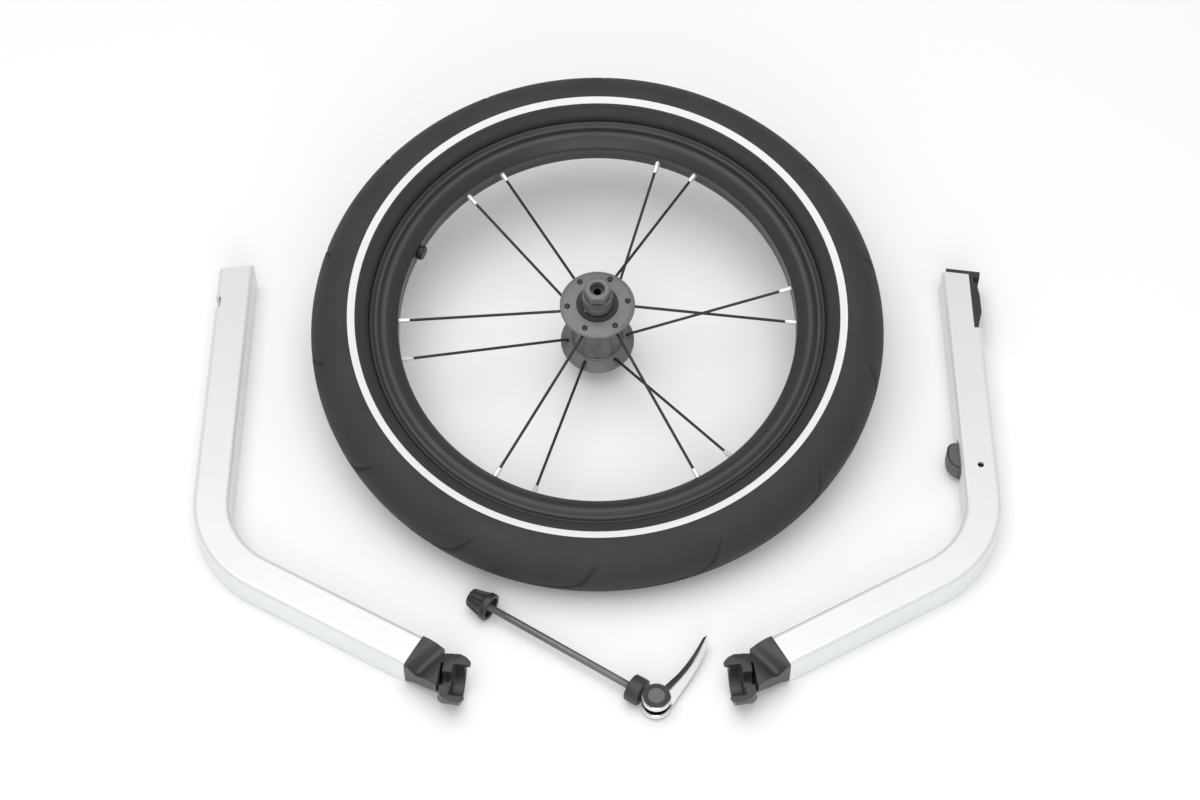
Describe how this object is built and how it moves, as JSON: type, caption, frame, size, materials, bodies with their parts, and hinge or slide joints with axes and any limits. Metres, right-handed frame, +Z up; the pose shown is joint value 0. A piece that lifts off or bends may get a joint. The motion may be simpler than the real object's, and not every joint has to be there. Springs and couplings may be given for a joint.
{
  "type": "child trailer jogging wheel kit",
  "caption": "Jogging wheel kit for a child bicycle trailer, laid out flat: a small spoked front wheel, two bent tube arms with slotted black ends, and a quick-release skewer with a cam lever.",
  "frame": {"origin": "middle of the kit footprint, on the floor it lies on", "axes": "+Z up off the floor, +Y from the skewer towards the wheel, +X to the side of the right arm, the one with the latch"},
  "size_m": [0.5519, 0.483, 0.1011],
  "materials": {
    "tyre_rubber": "satin moulded rubber",
    "reflective": "white reflective film",
    "tube_rubber": "matte",
    "tape": "matte",
    "rim_black": "satin black anodised",
    "spoke_black": "black oxide",
    "nipple_plate": "nickel plated",
    "hub_grey": "bead-blasted grey anodised",
    "steel": "machined",
    "ball_steel": "polished",
    "seal": "matte",
    "valve_black": "matte",
    "arm_silver": "satin silver anodised",
    "fitting_black": "moulded glass-filled nylon",
    "button_grey": "moulded",
    "link_nylon": "moulded",
    "link_steel": "zinc plated",
    "cap_black": "satin black",
    "insert_brass": "machined",
    "lever_silver": "polished",
    "pivot_grey": "fine machined"
  },
  "bodies": {
    "axle_group": {"axle": "steel", "cone_upper": "steel", "cone_lower": "steel", "lock_washer_upper": "steel", "lock_washer_lower": "steel", "locknut_upper": "steel", "locknut_lower": "steel"},
    "wheel": {"tyre": "tyre_rubber", "reflective_band_upper": "reflective", "reflective_band_lower": "reflective", "inner_tube": "tube_rubber", "rim_tape": "tape", "rim": "rim_black", "valve_stem": "tube_rubber", "valve_cap": "valve_black", "spokes_upper": "spoke_black", "spokes_lower": "spoke_black", "spoke_nipples": "nipple_plate", "hub_shell": "hub_grey", "bearing_cup_upper": "steel", "bearing_cup_lower": "steel", "bearing_balls_upper": "ball_steel", "bearing_balls_lower": "ball_steel", "hub_seal_upper": "seal", "hub_seal_lower": "seal"},
    "left_arm": {"arm_tube_left": "arm_silver", "end_fitting_left": "fitting_black"},
    "right_arm": {"arm_tube_right": "arm_silver", "end_fitting_right": "fitting_black", "latch_insert": "fitting_black", "pivot_pin": "steel", "button_spring": "link_steel"},
    "button": {"release_button": "button_grey"},
    "link": {"release_link": "link_nylon"},
    "catch": {"catch": "fitting_black", "catch_pin": "steel"},
    "skewer": {"skewer_rod": "steel", "skewer_cap": "cap_black", "lever_pivot": "pivot_grey"},
    "lever": {"skewer_lever": "lever_silver"},
    "nut": {"skewer_nut": "fitting_black", "nut_insert": "insert_brass"}
  },
  "joints": [
    {"name": "wheel_spin", "type": "hinge", "parent": "axle_group", "child": "wheel", "pos_m": [0, 0.0436, 0.05057], "axis": [0, -0.1534, 0.9882], "continuous": true},
    {"name": "left_arm_lift", "type": "slide", "parent": "axle_group", "child": "left_arm", "axis": [0, 0, 1], "range_m": [0, 0.2]},
    {"name": "right_arm_lift", "type": "slide", "parent": "axle_group", "child": "right_arm", "axis": [0, 0, 1], "range_m": [0, 0.2]},
    {"name": "button_press", "type": "hinge", "parent": "right_arm", "child": "button", "pos_m": [0.2624, -0.0584, 0.0125], "axis": [0, 0, -1], "range_deg": [0, 12], "stiffness_Nm_per_rad": 0.3, "springref_deg": -17.19},
    {"name": "link_slide", "type": "slide", "parent": "right_arm", "child": "link", "axis": [0, 1, 0], "range_m": [0, 0.0017]},
    {"name": "catch_slide", "type": "slide", "parent": "right_arm", "child": "catch", "axis": [-1, 0, 0], "range_m": [0, 0.0017]},
    {"name": "skewer_lift", "type": "slide", "parent": "axle_group", "child": "skewer", "axis": [0, 0, 1], "range_m": [0, 0.2]},
    {"name": "lever_swing", "type": "hinge", "parent": "skewer", "child": "lever", "pos_m": [0.0383, -0.23201, 0.00975], "axis": [0, 0, -1], "range_deg": [0, 160]},
    {"name": "nut_spin", "type": "hinge", "parent": "skewer", "child": "nut", "pos_m": [-0.0705, -0.1627, 0.00975], "axis": [0.8434, -0.5373, 0], "continuous": true}
  ],
  "couplings": [
    {"joint": "link_slide", "follows": "button_press", "m_per_rad": 0.0078},
    {"joint": "catch_slide", "follows": "button_press", "m_per_rad": 0.0078},
    {"joint": "lever_swing", "follows": "skewer_lift", "rad_per_m": 13.9}
  ]
}
